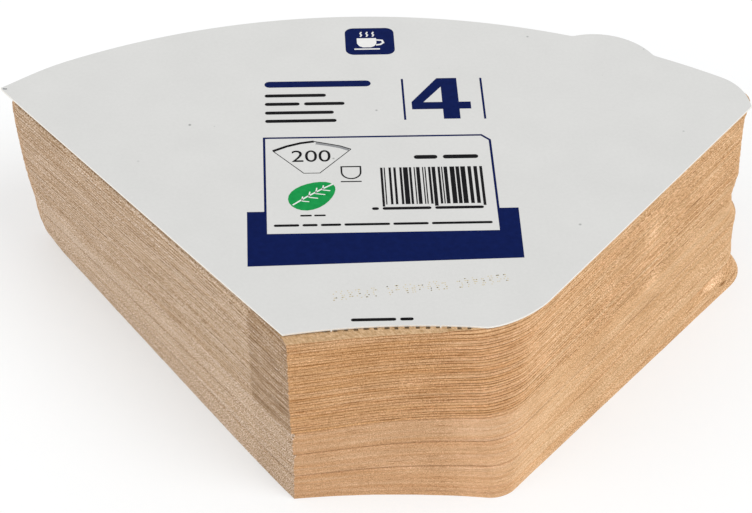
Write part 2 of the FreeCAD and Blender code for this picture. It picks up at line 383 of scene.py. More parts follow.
# How far inside its edge a bundle's end faces start, and how deep and how high a pressed bundle's lips are
END_INSET = 1.2
LIP = 0.14
LIP_REACH = 0.3


def ridged_rows():
    """Loose filters: two or three folded edges stand out together, then one lies back."""
    rng = random.Random(11)
    top = STACK_TOP - TOP_SHEET
    count = round((top - RIDGED_BOTTOM) / SHEET)
    pitch = (top - RIDGED_BOTTOM) / count
    rows = [(RIDGED_BOTTOM + 0.02, END_INSET, 0.0, 0)]
    left_in_group, group = 2, 0
    for index in range(count):
        level = RIDGED_BOTTOM + index * pitch
        if left_in_group:
            left_in_group -= 1
            rows.append((level + 0.12 * pitch, 0.05, 0.25, 0))
            rows.append((level + 0.6 * pitch, rng.uniform(0.0, 0.06), 0.0, 0))
        else:
            group += 1
            left_in_group = 2 + group % 2 if rng.random() < 0.85 else 2
            rows.append((level + 0.15 * pitch, 0.04, 0.9, 0))
            rows.append((level + 0.75 * pitch, 0.06, 1.0, 0))
    rows.append((top, 0.8, 0.5, 0))
    return rows


def pressed_rows(low, high, seed):
    """Filters pressed into a bundle: nearly smooth edges, with rounded lips at the slits."""
    rng = random.Random(seed)
    count = round((high - low) / SHEET)
    pitch = (high - low) / count
    rows = [(low, END_INSET, 0.0, -1), (low + 0.02, 0.4, 0.6, -1)] if low else [(low, 0.1, 0.0, 0)]
    for index in range(count):
        level = low + index * pitch
        lip = LIP * math.exp(-min(level - low if low else high, high - level - pitch) / LIP_REACH)
        rows.append((level + 0.15 * pitch, lip + 0.05, rng.choice((0.0, 0.1, 0.1, 0.35)), 0))
        rows.append((level + 0.6 * pitch, lip + rng.uniform(0.0, 0.04), 0.0, 0))
    rows += [(high - 0.02, 0.4, 0.6, 1), (high, END_INSET, 0.0, 1)]
    return rows


def top_sheet_rows():
    """The first filter under the card: its edge, then its crimped hem lying flat."""
    low = STACK_TOP - TOP_SHEET
    top = STACK_TOP - 0.02
    rows = [(low + 0.01, 0.7, 0.0, 0), (low + 0.03, 0.05, 0.0, 0), (top - 0.06, 0.0, 0.0, 0)]
    rows += [(top, inset, 0.0, 0) for inset in (0.1, 0.5, 1.0, 1.6, 2.4, 3.4, 5.0, 7.0, 10.0)]
    return rows


# Materials
def linear(hex_colour):
    """Linear colour of an sRGB hex value."""
    channels = [int(hex_colour[start:start + 2], 16) / 255 for start in (1, 3, 5)]
    return [c / 12.92 if c <= 0.04045 else ((c + 0.055) / 1.055) ** 2.4 for c in channels] + [1.0]


def add_node(tree, kind, inputs=None, **settings):
    """Adds one node with its settings, and links or sets what goes into it.

    A node among the inputs stands for its first output in use. Map Range has a value as input 0, its range as
    1 and 2 and what that becomes as 3 and 4. Mix has a share as input 0 and its colours as 6 and 7.
    """
    made = tree.nodes.new("ShaderNode" + kind)
    for name, value in settings.items():
        setattr(made, name, value)
    for socket, value in (inputs or {}).items():
        if isinstance(value, bpy.types.Node):
            value = next(output for output in value.outputs if output.enabled)
        if isinstance(value, bpy.types.NodeSocket):
            tree.links.new(value, made.inputs[socket])
        else:
            made.inputs[socket].default_value = value
    return made


def new_material(name):
    """An empty node material and its tree."""
    material = bpy.data.materials.new(name)
    material.use_nodes = True
    material.node_tree.nodes.clear()
    return material, material.node_tree


def finish_material(tree, colour, roughness, height, bump_depth, specular):
    """Principled surface with a bump of some millimetres, joined to the output."""
    bump = add_node(tree, "Bump", {"Strength": 1.0, "Distance": bump_depth * MM, "Height": height})
    surface = add_node(tree, "BsdfPrincipled", {
        "Base Color": colour, "Roughness": roughness, "Normal": bump, "Specular IOR Level": specular})
    add_node(tree, "OutputMaterial", {"Surface": surface})


def grain(tree, place, sizes, detail=2.0, rough=0.5):
    """Noise whose grains have the given size along each axis."""
    mapping = add_node(tree, "Mapping", {"Vector": place, "Scale": [1 / size for size in sizes]})
    return add_node(tree, "TexNoise", {"Vector": mapping, "Scale": 1.0, "Detail": detail, "Roughness": rough})


def two_tone(tree, pattern, low, high, dark, light):
    """Colour between two hex shades: dark where the pattern is low, light where it is high."""
    share = add_node(tree, "MapRange", {0: pattern, 1: low, 2: high, 3: 0, 4: 1})
    return add_node(tree, "Mix", {0: share, 6: linear(dark), 7: linear(light)}, data_type="RGBA")


# Lighter fibres are paler and darker ones browner: green and blue follow a shade more than red does
PAPER_TINT = (1.0, 1.28, 1.7)


def shaded(tree, colour, factor, powers=(1.0, 1.0, 1.0)):
    """A colour made lighter or darker by a factor, which each channel takes to its own power."""
    channels = {index: add_node(tree, "Math", {0: factor, 1: power}, operation="POWER")
                for index, power in enumerate(powers)}
    tint = add_node(tree, "CombineColor", channels)
    return add_node(tree, "Mix", {0: 1.0, 6: colour, 7: tint}, data_type="RGBA", blend_type="MULTIPLY")


def by_side(tree, side, folded, hem, crimped):
    """A value for each side of the filter, which changes evenly round its corners."""
    first = add_node(tree, "MapRange", {0: side, 1: -1, 2: 0, 3: folded, 4: hem})
    second = add_node(tree, "MapRange", {0: side, 1: 0, 2: 1, 3: 0, 4: crimped - hem})
    return add_node(tree, "Math", {0: first, 1: second}, operation="ADD")


# Rubbed places on the side, and painted shadow and highlight at its slits and loose corner: length along the
# filter's outline, height, half their size, and lightness
WEAR_AND_PAINTED_LIGHT = [
    # Rubbed places
    (112.6, 38.5, 5.0, 5.0, 1.12), (116.7, 25.2, 5.0, 5.0, 1.12),
    # Painted shadow in an open slit
    (132.8, 35.8, 5.5, 0.42, 0.5),
    # Loose corner of the lowest filters at the right tip: painted shadow in a slit, painted highlight on its
    # pale lip and painted shadow in a short slit
    (152.0, 5.7, 4.2, 0.5, 0.5), (150.5, 4.3, 5.5, 1.0, 1.34), (152.2, 2.4, 1.8, 0.5, 0.5),
]


def with_wear_and_painted_light(tree, colour, edge):
    """The paper with its rubbed places, and painted shade and highlight at its slits and loose corner."""
    for length, level, half_length, half_height, lightness in WEAR_AND_PAINTED_LIGHT:
        place = add_node(tree, "Mapping", {
            "Vector": edge, "Location": (-length / half_length, -level / half_height, 0),
            "Scale": (1 / half_length, 1 / half_height, 0)})
        distance = add_node(tree, "VectorMath", {0: place}, operation="LENGTH")
        share = add_node(tree, "MapRange", {0: distance, 1: 0.4, 2: 1.1, 3: 1, 4: 0})
        marked = shaded(tree, colour, lightness, PAPER_TINT)
        colour = add_node(tree, "Mix", {0: share, 6: colour, 7: marked}, data_type="RGBA")
    return colour


# How far the crimped hem darkens the side, back from the front left corner
CRIMP_LINES = 15.0


def crimp_lined(tree, colour, edge, crimped, fleck):
    """The crimped side's dark brown lines beside the front corner, fewer where the filters are pressed."""
    along, level = add_node(tree, "SeparateXYZ", {0: edge}).outputs[:2]
    ragged = add_node(tree, "MapRange", {0: fleck, 1: 0.3, 2: 0.7, 3: -0.6, 4: 0.6})
    ragged_along = add_node(tree, "Math", {0: along, 1: ragged}, operation="ADD")
    near = add_node(tree, "MapRange", {
        0: ragged_along, 1: -CRIMP_LINES - 0.3, 2: -CRIMP_LINES + 0.3, 3: 0, 4: 1})
    loose = add_node(tree, "MapRange", {0: level, 1: RIDGED_BOTTOM - 1, 2: RIDGED_BOTTOM, 3: 0.35, 4: 1.0})
    # Lines 9 mm long, one and a half sheets apart
    share = add_node(tree, "MapRange", {
        0: grain(tree, edge, (9, 0.42, 1)), 1: 0.44, 2: 0.6, 3: 0.14, 4: 0.62})
    for part in (near, crimped, loose):
        share = add_node(tree, "Math", {0: share, 1: part}, operation="MULTIPLY")
    return add_node(tree, "Mix", {0: share, 6: colour, 7: linear("#8C6B49")}, data_type="RGBA")


def filter_paper_edges(name, brightness, fibre, speckles, hem_shades):
    """Creped kraft filter paper seen on its edges: matt, fibrous, each sheet a shade of its own.

    The speckles are the depths of the grain on the folded side, the hem and the crimped side.
    """
    material, tree = new_material(name)
    edge = add_node(tree, "UVMap", uv_map="edge")
    along = add_node(tree, "SeparateXYZ", {0: edge}).outputs[0]
    side, groove = add_node(tree, "SeparateXYZ", {0: add_node(tree, "UVMap", uv_map="marks")}).outputs[:2]
    crimped = add_node(tree, "MapRange", {0: side, 1: 0, 2: 1, 3: 0, 4: 1})
    bend_starts = add_node(tree, "MapRange", {0: along, 1: 36, 2: 44, 3: 0, 4: 1})
    bend_ends = add_node(tree, "MapRange", {0: along, 1: 66, 2: 90, 3: 1, 4: 0})
    by_hem_bend = add_node(tree, "Math", {0: bend_starts, 1: bend_ends}, operation="MULTIPLY")

    # Fibres lie along the sheet: 1.3 mm long flecks, as fine as one sheet
    fleck = grain(tree, edge, (1.3, 0.26, 1), rough=0.6)
    # Cut fibre ends, 0.3 mm, which show more on the sides and less where the hem bends
    speckle = grain(tree, edge, (0.33, 0.3, 1), rough=0.6)
    calm = add_node(tree, "MapRange", {0: by_hem_bend, 1: 0, 2: 1, 3: 1, 4: 0.5})
    # Crimped edges show as long fine lines, one and a half sheets apart
    rib = grain(tree, edge, (22, 0.4, 1), detail=1)
    # Single sheets, lighter or darker for some 12 mm
    streak = grain(tree, edge, (12, 0.5, 1))
    # Runs of sheets from different reels, 1.5 mm of the stack
    reel = grain(tree, edge, (60, 1.5, 1), detail=1)
    # Larger patches, about 12 by 6 mm, a little lighter or darker
    patch = grain(tree, edge, (12, 6, 1))
    # Painted shade in gaps between sheets that stand open for some 10 mm
    gap_shade_pattern = grain(tree, edge, (10, 0.35, 1), detail=1)
    # Painted shade in the grooves, which shows more in one place than in another
    groove_shade_spread = add_node(tree, "MapRange", {
        0: grain(tree, edge, (9, 2.5, 1)), 1: 0.35, 2: 0.6, 3: 0.5, 4: 1.0})

    hem = two_tone(tree, reel, 0.35, 0.65, *hem_shades)
    fold = two_tone(tree, reel, 0.35, 0.65, "#DFB487", "#E4BE94")
    crimp = two_tone(tree, reel, 0.35, 0.65, "#D0B599", "#D8C0A8")
    folded = add_node(tree, "MapRange", {0: side, 1: -1, 2: 0, 3: 1, 4: 0})
    colour = add_node(tree, "Mix", {0: folded, 6: hem, 7: fold}, data_type="RGBA")
    colour = add_node(tree, "Mix", {0: crimped, 6: colour, 7: crimp}, data_type="RGBA")

    # Each pattern with its range, its depths on the three sides, what else thins it out, and its mean
    for pattern, low, high, depths, thinned, mean in (
            (rib, 0.35, 0.65, (0, 0, 0.08), 1, 1),
            (streak, 0.3, 0.7, (0.07, 0.0475, 0.025), 1, brightness),
            (fleck, 0.3, 0.7, (fibre, fibre, fibre), 1, 1),
            (speckle, 0.3, 0.7, speckles, calm, 1),
            (patch, 0.3, 0.7, (0.05, 0.05, 0.02), 1, 1)):
        depth = add_node(tree, "Math", {0: by_side(tree, side, *depths), 1: thinned}, operation="MULTIPLY")
        swing = add_node(tree, "MapRange", {0: pattern, 1: low, 2: high, 3: -1, 4: 1})
        factor = add_node(tree, "Math", {0: swing, 1: depth, 2: mean}, operation="MULTIPLY_ADD")
        colour = shaded(tree, colour, factor, PAPER_TINT)

    # Painted shade in the open gaps, lighter on the crimped side
    gap_shade = by_side(tree, side, 0.68, 0.68, 0.87)
    painted_gap_shade = add_node(tree, "MapRange", {0: gap_shade_pattern, 1: 0.66, 2: 0.72, 3: 1.0, 4: gap_shade})
    colour = shaded(tree, colour, painted_gap_shade, PAPER_TINT)
    # Painted shade in the grooves, deeper where the hem bends, and a painted highlight on the crests there
    crest_highlight = add_node(tree, "MapRange", {0: by_hem_bend, 1: 0, 2: 1, 3: 1.0, 4: 1.12})
    hollow_shade = add_node(tree, "MapRange", {0: by_hem_bend, 1: 0, 2: 1, 3: 0.6, 4: 0.44})
    shaded_groove = add_node(tree, "Math", {0: groove, 1: groove_shade_spread}, operation="MULTIPLY")
    ridge_highlight_and_shade = add_node(tree, "MapRange", {0: shaded_groove, 1: 0, 2: 1, 3: crest_highlight, 4: hollow_shade})
    colour = shaded(tree, colour, ridge_highlight_and_shade, PAPER_TINT)
    colour = with_wear_and_painted_light(tree, colour, edge)
    colour = crimp_lined(tree, colour, edge, crimped, fleck)

    height = add_node(tree, "Math", {0: fleck, 1: speckle}, operation="ADD")
    finish_material(tree, colour, 0.95, height, 0.12, 0.15)
    return material


def crimped_hem_paper():
    """The same paper pressed flat in the hem's crimp: greyer, with slanting fibres and small spots."""
    material, tree = new_material("crimped_hem_paper")
    place = add_node(tree, "TexCoord").outputs["Object"]
    turned = add_node(tree, "Mapping", {"Vector": place, "Rotation": (0, 0, math.radians(-35))})
    fibre = grain(tree, turned, (0.4 * MM, 1.6 * MM, MM))
    mottle = grain(tree, place, (1.3 * MM, 0.7 * MM, MM), detail=3)
    speckle = grain(tree, place, (0.4 * MM, 0.4 * MM, 0.4 * MM))
    both = add_node(tree, "Math", {0: fibre, 1: mottle}, operation="ADD")
    colour = two_tone(tree, both, 2 * 0.38, 2 * 0.62, "#AE8B62", "#D6B48E")
    spots = add_node(tree, "MapRange", {0: speckle, 1: 0.3, 2: 0.7, 3: 0.86, 4: 1.14})
    finish_material(tree, shaded(tree, colour, spots), 0.95, fibre, 0.15, 0.15)
    return material


def coated_board():
    """White coated board: smooth, faintly mottled, with a few grey specks."""
    material, tree = new_material("coated_board")
    place = add_node(tree, "TexCoord").outputs["Object"]
    cloud = grain(tree, place, (14 * MM, 14 * MM, MM), detail=3)
    fine = grain(tree, place, (0.9 * MM, 0.9 * MM, MM))
    # One speck in every few cells of 6 mm
    cells = add_node(tree, "TexVoronoi", {"Vector": place, "Scale": 1 / (6 * MM), "Randomness": 1.0})
    speck = add_node(tree, "MapRange", {0: cells.outputs["Distance"], 1: 0.03, 2: 0.08, 3: 1.0, 4: 0.0})
    shade_of_cell = add_node(tree, "SeparateColor", {0: cells.outputs["Color"]})
    chosen = add_node(tree, "MapRange", {0: shade_of_cell, 1: 0.75, 2: 0.9, 3: 0.0, 4: 1.0})
    specks = add_node(tree, "Math", {0: speck, 1: chosen}, operation="MULTIPLY")
    colour = two_tone(tree, cloud, 0.3, 0.7, "#D3D3D1", "#D6D6D4")
    mottle = add_node(tree, "MapRange", {0: fine, 1: 0.3, 2: 0.7, 3: 0.985, 4: 1.012})
    colour = shaded(tree, colour, mottle)
    colour = add_node(tree, "Mix", {0: specks, 6: colour, 7: linear("#8F918E")}, data_type="RGBA")
    finish_material(tree, colour, 0.5, cloud, 0.04, 0.25)
    return material


def mottled(name, size, dark, light, roughness, bump_depth, specular):
    """A material with even grains of one size, in millimetres, between two shades."""
    material, tree = new_material(name)
    place = add_node(tree, "TexCoord").outputs["Object"]
    mottle = grain(tree, place, (size * MM, size * MM, size * MM))
    colour = two_tone(tree, mottle, 0.3, 0.7, dark, light)
    finish_material(tree, colour, roughness, mottle, bump_depth, specular)
    return material


def cut_board():
    """Cut edge of the board: bare white fibres, rougher and brighter than the coated face."""
    return mottled("cut_board", 0.5, "#F2EEE6", "#FBF9F4", 0.9, 0.05, 0.2)


def printing_ink(name, dark, light):
    """Offset ink on coated board: even, with a faint mottle and the board's own gloss."""
    return mottled(name, 1.5, dark, light, 0.6, 0.01, 0.06)


def crimp_shadow():
    """Painted shade in the crimp's teeth marks, which lie in shadow under the card's edge."""
    return mottled("crimp_shadow", 0.4, "#4A3A2A", "#7A6347", 0.95, 0.03, 0.1)


# Flat shapes on the card
def plate(bm, outline, low, high):
    """Closed plate between two heights, from its outline or from an outline and its hole."""
    loops = outline if isinstance(outline[0], list) else [outline]
    edges = []
    for loop in loops:
        corners = [bm.verts.new(((CENTRE.x + x) * MM, (CENTRE.y + y) * MM, low * MM)) for x, y in loop]
        edges += [bm.edges.new(pair) for pair in zip(corners, corners[1:] + corners[:1])]
    filled = bmesh.ops.triangle_fill(bm, use_beauty=True, edges=edges)
    faces = [item for item in filled["geom"] if isinstance(item, bmesh.types.BMFace)]
    raised = bmesh.ops.extrude_face_region(bm, geom=faces)
    upper = [item for item in raised["geom"] if isinstance(item, bmesh.types.BMVert)]
    bmesh.ops.translate(bm, verts=upper, vec=(0, 0, (high - low) * MM))


def inked(bm, outline):
    """A layer of ink on the board."""
    plate(bm, outline, INK_LOW, INK_HIGH)


def finished(bm, name, material):
    """Turns a bmesh into a piece with its faces pointing outwards."""
    bmesh.ops.recalc_face_normals(bm, faces=bm.faces)
    mesh = bpy.data.meshes.new(name)
    bm.to_mesh(mesh)
    bm.free()
    mesh.materials.append(material)
    piece = bpy.data.objects.new(name, mesh)
    bpy.context.scene.collection.objects.link(piece)
    return piece


def rectangle(left, right, bottom, top):
    """Corners of a rectangle."""
    return [(left, bottom), (right, bottom), (right, top), (left, top)]


def turn(x, y, radius, start, end, steps=6, squeeze=1.0):
    """Points of an arc between two angles in degrees, with both its ends; squeeze makes it an ellipse's."""
    angles = [math.radians(start + (end - start) * step / steps) for step in range(steps + 1)]
    return [(x + radius * math.cos(angle), y + radius * squeeze * math.sin(angle)) for angle in angles]


def rounded(left, right, bottom, top, radius):
    """Outline of a rectangle with round corners."""
    left, right, bottom, top = left + radius, right - radius, bottom + radius, top - radius
    return (turn(right, bottom, radius, -90, 0, 5) + turn(right, top, radius, 0, 90, 5)
            + turn(left, top, radius, 90, 180, 5) + turn(left, bottom, radius, 180, 270, 5))


def band_round(points, width):
    """An open line of points given a width, as one outline."""
    path = [Vector(point) for point in points]
    left, right = [], []
    for index, point in enumerate(path):
        before = (point - path[index - 1]).normalized() if index else None
        after = (path[index + 1] - point).normalized() if index < len(path) - 1 else None
        step = ((before or after) + (after or before)).normalized()
        reach = width / 2 / max(0.4, step.dot(after or before))
        side = Vector((-step.y, step.x)) * reach
        left.append(tuple(point + side))
        right.append(tuple(point - side))
    return right + left[::-1]


def card_hem():
    """The card's front edge, from its left corner to the small cusp."""
    start = Vector(CARD_HEM_LEFT)
    return bend(start, start + Vector((16, 2.8)), CARD_CUSP + Vector((-16, 1.9)), CARD_CUSP, 30) + [CARD_CUSP]


def nicked_hem():
    """The card's front edge with its nicks, without its last point."""
    hem = card_hem()
    points = []
    for first, second in zip(hem, hem[1:]):
        points.append(first)
        for nick in CARD_NICKS:
            if first.x <= nick < second.x:
                points += [first + Vector((0.05, -0.5)), first + Vector((0.3, -0.45))]
                points.append(first.lerp(second, 0.25))
    return points


def thumb_tab():
    """The card's curved edge round the thumb tab, and the azimuths of the tab's feet."""
    distance = CARD_CURVE + TAB_REACH - TAB_RADIUS
    half = math.degrees(math.acos(
        (distance ** 2 + CARD_CURVE ** 2 - TAB_RADIUS ** 2) / (2 * distance * CARD_CURVE)))
    centre = heading(TAB_ANGLE) * distance
    right_foot = heading(TAB_ANGLE + half) * CARD_CURVE
    left_foot = heading(TAB_ANGLE - half) * CARD_CURVE
    first = azimuth_of(right_foot, centre) - TAB_BLEND
    last = azimuth_of(left_foot, centre) + TAB_BLEND
    before, after = TAB_ANGLE + half + TAB_FOOT, TAB_ANGLE - half - TAB_FOOT
    right_start = centre + heading(first) * TAB_RADIUS
    points = bend(heading(before) * CARD_CURVE, right_foot, right_foot, right_start, 5)
    points += arc(centre, TAB_RADIUS, first, last, 20)
    points += bend(centre + heading(last) * TAB_RADIUS, left_foot, left_foot, heading(after) * CARD_CURVE, 5)
    return points, before, after


def card_outline():
    """The card's plan: curved hem with a small cusp, straight sides, mouth's curve and thumb tab."""
    hem_left, hem_right = Vector(CARD_HEM_LEFT), Vector(CARD_HEM_RIGHT)
    right, left = heading(RIGHT_ANGLE[0]), heading(-CARD_LEFT_ANGLE)
    origin = Vector((0, 0))
    right_corner = line_meets_circle(hem_right, right, origin, CARD_CURVE)
    left_corner = line_meets_circle(hem_left, left, origin, CARD_CURVE)
    side_start = hem_right + right * CARD_CORNER
    side_end = right_corner - right * CARD_TIP_TRIM
    mouth_start = azimuth_of(right_corner, origin) - math.degrees(CARD_TIP_ROUND / CARD_CURVE)
    mouth_end = azimuth_of(left_corner, origin) + math.degrees(CARD_WORN / CARD_CURVE)
    mouth_first = heading(mouth_start) * CARD_CURVE
    mouth_last = heading(mouth_end) * CARD_CURVE
    tab, before_tab, after_tab = thumb_tab()

    outline = nicked_hem()
    outline += bend(CARD_CUSP, CARD_CUSP + Vector((5.6, 0.6)), side_start - right * 5, side_start, 12)
    outline += line(side_start, side_end, 1)
    outline += bend(side_end, side_end + heading(-2) * 5.5,
                    mouth_first + heading(mouth_start + 90) * 4.5, mouth_first, 12)
    outline += arc(origin, CARD_CURVE, mouth_start, before_tab, 8)
    outline += tab
    outline += arc(origin, CARD_CURVE, after_tab, mouth_end, 48)
    outline += bend(mouth_last, mouth_last + heading(mouth_end - 90) * CARD_WORN * 0.4,
                    CARD_LEFT_TIP + heading(56) * CARD_WORN * 0.3, CARD_LEFT_TIP, 8)
    outline += [CARD_LEFT_TIP, CARD_LEFT_TIP + Vector((0.35, -0.75))]
    return [tuple(point) for point in outline]


def cover_card(face_material, edge_material):
    """The board, with its cut edge a little rounded."""
    bm = bmesh.new()
    plate(bm, card_outline(), STACK_TOP, BOARD_TOP)
    flat = [edge for edge in bm.edges if abs(edge.verts[0].co.z - edge.verts[1].co.z) < 1e-7
            and any(abs(face.normal.z) < 0.5 for face in edge.link_faces)]
    bmesh.ops.recalc_face_normals(bm, faces=bm.faces)
    bmesh.ops.bevel(bm, geom=flat, affect="EDGES", offset=CARD_EDGE * MM, offset_type="OFFSET", segments=2,
                    profile=0.5, material=-1, clamp_overlap=True)
    piece = finished(bm, "printed_cover_card", face_material)
    piece.data.materials.append(edge_material)
    for polygon in piece.data.polygons:
        polygon.material_index = int(abs(polygon.normal.z) <= 0.97)
    return piece


# Print on the card: a rectangle is left, right, bottom, top
INK_LOW = BOARD_TOP
INK_HIGH = BOARD_TOP + INK_THICKNESS
WHITE_INK_HIGH = INK_HIGH + INK_THICKNESS / 2
BAND = (-29.5, 37.3, 71.76, 91.01)
# The band's lower edge runs a little askew
BAND_SKEW = 0.75
LABEL = (-24.67, 32.02, 82.7, 119.3)
LABEL_CHAMFER = 2.04
RULE = 0.6
CUP_TILE = (-2.9, 10.15, 154.0, 165.7)
CUP_TILE_ROUND = 2.2
# The 4 as left, bottom, width and height, and the bars beside it
FIGURE_FOUR = (13.3, 126.4, 15.3, 17.0)
BESIDE_FIGURE = [(11.02, 11.58, 126.2, 143.3), (31.58, 32.14, 126.2, 143.3)]
LEAF_CENTRE = Vector((-13.23, 96.97))
LEAF_LENGTH = 6.6
LEAF_WIDTH = 4.6
COUNT_PLACE = (-13.25, 110.0)
COUNT_SIZE = 6.2
STRIPES = (3.9, 29.5, 93.0, 107.2)
LONG_STRIPE_FOOT = 92.2
# Rows of print: left, right, baseline, height and the lengths of their words
NAVY_ROW = (-24.6, 3.1, 140.4, 2.5, (11,))
BLACK_ROWS = [
    (-24.6, -8.7, 136.3, 1.25, (11,)), (-24.6, -4.0, 132.8, 1.25, (6, 7)), (-24.6, -6.9, 129.2, 1.25, (12,)),
    (-24.6, -6.3, 125.8, 1.25, (13,)), (12.6, 28.9, 110.4, 1.5, (2, 3)), (1.2, 28.8, 91.0, 1.0, (1, 7, 7)),
    (-16.5, -10.2, 89.0, 0.6, (4, 4)), (-23.0, 30.5, 85.3, 0.85, (5, 3, 4, 9, 7, 12)),
    (-5.5, 9.2, 51.2, 1.0, (10, 3)),
]
# Faint row of dots: its ends, the step between figures, which of them are left out, and dots in each
DOT_ROW = Vector((-9.3, 58.6)), Vector((32.6, 63.8))
DOT_STEP = 1.88
DOT_PLACES = 23
DOT_SPACES = (6, 15)
DOTS = 9
DOT_RADIUS = 0.16


def scaled(points, left, bottom, width, height):
    """Points of a unit square laid over a rectangle."""
    return [(left + x * width, bottom + y * height) for x, y in points]


def figure_four():
    """A bold 4, and the hole in it."""
    outer = [(0.52, 0), (0.80, 0), (0.80, 0.24), (1, 0.24), (1, 0.41), (0.80, 0.41), (0.80, 1), (0.46, 1),
             (0, 0.42), (0, 0.24), (0.52, 0.24)]
    hole = [(0.52, 0.41), (0.52, 0.79), (0.20, 0.41)]
    return [scaled(outer, *FIGURE_FOUR), scaled(hole, *FIGURE_FOUR)]


def word_bars(bm, left, right, baseline, height, words):
    """A line of print as plain bars, one for each word, with round ends."""
    gap = height * 0.9
    unit = (right - left - gap * (len(words) - 1)) / sum(words)
    radius = height / 2
    middle = baseline + radius
    for length in words:
        end = left + unit * length
        inked(bm, turn(end - radius, middle, radius, -90, 90) + turn(left + radius, middle, radius, 90, 270))
        left = end + gap


def navy_print(material):
    """Band with the label's place left out, the label's rule, a cup tile, the 4 and its two bars."""
    bm = bmesh.new()
    left, right, bottom, top = BAND
    label_left, label_right, label_bottom, label_top = LABEL
    inked(bm, [(left, bottom - BAND_SKEW), (right - 0.2, bottom + BAND_SKEW), (right, top),
               (label_right, top), (label_right, label_bottom), (label_left, label_bottom),
               (label_left, top), (left, top)])
    half = RULE / 2
    rule = [(label_left - half, top), (label_left - half, label_top + half),
            (label_right - LABEL_CHAMFER + half, label_top + half),
            (label_right + half, label_top - LABEL_CHAMFER + half), (label_right + half, top)]
    inked(bm, band_round(rule, RULE))
    inked(bm, figure_four())
    for bar in BESIDE_FIGURE:
        inked(bm, rectangle(*bar))
    inked(bm, rounded(*CUP_TILE, CUP_TILE_ROUND))
    word_bars(bm, *NAVY_ROW)
    return finished(bm, "navy_print", material)


def white_print(material):
    """The cup on the navy tile, with its saucer, handle and steam, and the veins of the leaf."""
    bm = bmesh.new()
    cup = [(0.12, 1), (0.12, 0.55), (0.2, 0.32), (0.34, 0.2),
           (0.66, 0.2), (0.8, 0.32), (0.88, 0.55), (0.88, 1)]
    shapes = [scaled(points, -0.6, 156.2, 6.8, 5.0) for points in (cup, rectangle(0, 1, 0, 0.1))]
    handle = [(5.4, 160.4), (6.9, 160.2), (7.2, 159.2), (6.4, 158.4), (5.2, 158.2)]
    shapes.append(band_round(handle, 0.55))
    for x in (1.2, 2.8, 4.4):
        shapes.append(band_round([(x, 161.9), (x + 0.35, 162.6), (x, 163.3), (x + 0.35, 164.0)], 0.4))
    vein = [LEAF_CENTRE + Vector(place) for place in ((-5.0, -3.6), (-1.5, -0.6), (2.2, 2.2), (5.2, 4.2))]
    shapes.append(band_round(vein, 0.42))
    for share in (-0.55, -0.2, 0.15, 0.5):
        root = LEAF_CENTRE + Vector((5 * share, 3.9 * share))
        for side in (Vector((0.4, 2.5)), Vector((2.7, -0.5))):
            shapes.append(band_round([root, root + side * (0.95 - 0.5 * abs(share))], 0.32))
    for shape in shapes:
        plate(bm, shape, INK_HIGH, WHITE_INK_HIGH)
    return finished(bm, "white_print", material)


def green_print(material):
    """A plain leaf, broader towards its stalk."""
    bm = bmesh.new()
    axis = Vector((0.79, 0.61))
    side = Vector((-0.61, 0.79))
    leaf = []
    for along, across in turn(0, 0, 1, 0, 345, 23):
        taper = 1 - 0.18 * along
        leaf.append(tuple(LEAF_CENTRE + axis * (LEAF_LENGTH * along) + side * (LEAF_WIDTH * across * taper)))
    inked(bm, leaf)
    return finished(bm, "green_print", material)


def round_cup(left, bottom, size, line_width):
    """Line figure of a round cup: its outline, and the same drawn in by the line's width."""
    half, depth, top = size * 0.42, size * 0.44, bottom + size
    loops = []
    for drawn_in in (0, line_width):
        squeeze = (depth - drawn_in) / (half - drawn_in)
        bowl = turn(left + half, bottom + size * 0.62, half - drawn_in, 180, 360, 12, squeeze)
        loops.append(bowl + [(bowl[-1][0], top - drawn_in), (bowl[0][0], top - drawn_in)])
    return loops


def black_print(material):
    """Rows of words, a fan figure, a cup figure and a row of stripes."""
    bm = bmesh.new()
    rng = random.Random(23)
    for row in BLACK_ROWS:
        word_bars(bm, *row)
    arch = [(-22.8, 114.4), (-19.3, 116.2), (-15.8, 117.4), (-12.4, 118.0), (-9.2, 117.1), (-5.8, 116.1),
            (-3.1, 114.7)]
    inked(bm, band_round([arch[0], (-15.2, 105.5), (-11.2, 105.5), arch[-1]], 0.22))
    inked(bm, band_round(arch[:4], 0.8))
    inked(bm, band_round(arch[3:], 0.3))
    inked(bm, round_cup(-6.0, 101.8, 6.2, 0.42))
    inked(bm, rectangle(-6.1, -0.9, 101.8, 102.2))
    x, right, foot, top = STRIPES
    while x < right - 0.4:
        stripe = rng.choice((0.3, 0.3, 0.6, 0.6, 0.9, 1.2))
        long = x < 4.6 or 16 < x < 17.4 or x > 28.4
        inked(bm, rectangle(x, min(right, x + stripe), LONG_STRIPE_FOOT if long else foot, top))
        x += stripe + rng.choice((0.3, 0.3, 0.6, 0.6, 0.9))
    return finished(bm, "black_print", material)


def grey_print(material):
    """The shaded half of the fan figure's arch, and the scuff on the left tip."""
    bm = bmesh.new()
    inked(bm, band_round([(-11.9, 117.3), (-9.0, 116.6), (-5.8, 115.6), (-3.6, 114.5)], 0.9))
    inked(bm, band_round([(-92.3, 141.75), (-91.7, 141.55), (-91.2, 141.6)], 0.5))
    return finished(bm, "grey_print", material)


